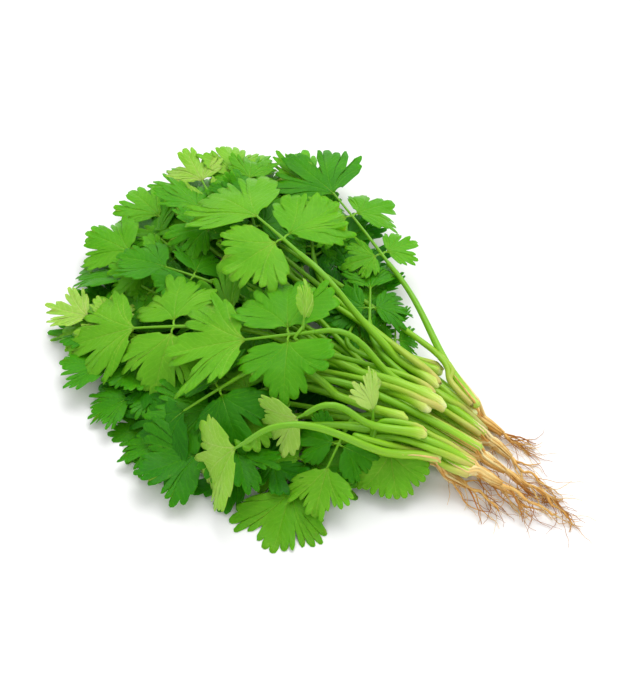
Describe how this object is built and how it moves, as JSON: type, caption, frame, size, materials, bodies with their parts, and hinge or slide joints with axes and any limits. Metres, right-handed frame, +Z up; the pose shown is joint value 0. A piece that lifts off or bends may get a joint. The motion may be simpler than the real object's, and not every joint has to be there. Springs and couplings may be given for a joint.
{
  "type": "coriander bunch",
  "caption": "Bunch of fresh coriander lying on its side, with lobed leaves on long green stalks and pale crowns with roots.",
  "frame": {"origin": "bottom centre of the bunch's box, on the surface it lies on", "axes": "+Z up, +X along the bunch from the leaves to the roots"},
  "size_m": [0.2982, 0.2326, 0.0558],
  "materials": {
    "leaf": "satin bright green leaf with fine veins",
    "young_leaf": "satin pale yellow-green young leaf",
    "stalk": "satin light green stalk, paler towards its base",
    "root": "matt cream to tan crown and orange-brown root"
  },
  "bodies": {
    "root": {"leaf_01": "leaf", "leaf_02": "leaf", "leaf_05": "leaf", "leaf_07": "leaf", "leaf_08": "leaf", "leaf_11": "leaf", "leaf_12": "leaf", "leaf_13": "leaf", "leaf_14": "leaf", "leaf_15": "leaf", "leaf_16": "leaf", "leaf_18": "leaf", "leaf_19": "leaf", "leaf_20": "leaf", "leaf_21": "leaf", "leaf_22": "leaf", "leaf_23": "leaf", "leaf_24": "leaf", "pinnate_leaf_03": "leaf", "pinnate_leaf_04": "leaf", "pinnate_leaf_06": "leaf", "pinnate_leaf_09": "leaf", "pinnate_leaf_17": "leaf", "root_1": "root", "root_2": "root", "root_3": "root", "root_4": "root", "root_5": "root", "root_6": "root", "root_7": "root", "stalk_01": "stalk", "stalk_02": "stalk", "stalk_03": "stalk", "stalk_04": "stalk", "stalk_05": "stalk", "stalk_06": "stalk", "stalk_07": "stalk", "stalk_08": "stalk", "stalk_09": "stalk", "stalk_10": "stalk", "stalk_11": "stalk", "stalk_12": "stalk", "stalk_13": "stalk", "stalk_14": "stalk", "stalk_15": "stalk", "stalk_16": "stalk", "stalk_17": "stalk", "stalk_18": "stalk", "stalk_19": "stalk", "stalk_20": "stalk", "stalk_21": "stalk", "stalk_22": "stalk", "stalk_23": "stalk", "stalk_24": "stalk", "stalk_25": "stalk", "stalk_26": "stalk", "young_leaf_10": "young_leaf", "young_leaf_25": "young_leaf", "young_leaf_26": "young_leaf"}
  },
  "joints": []
}
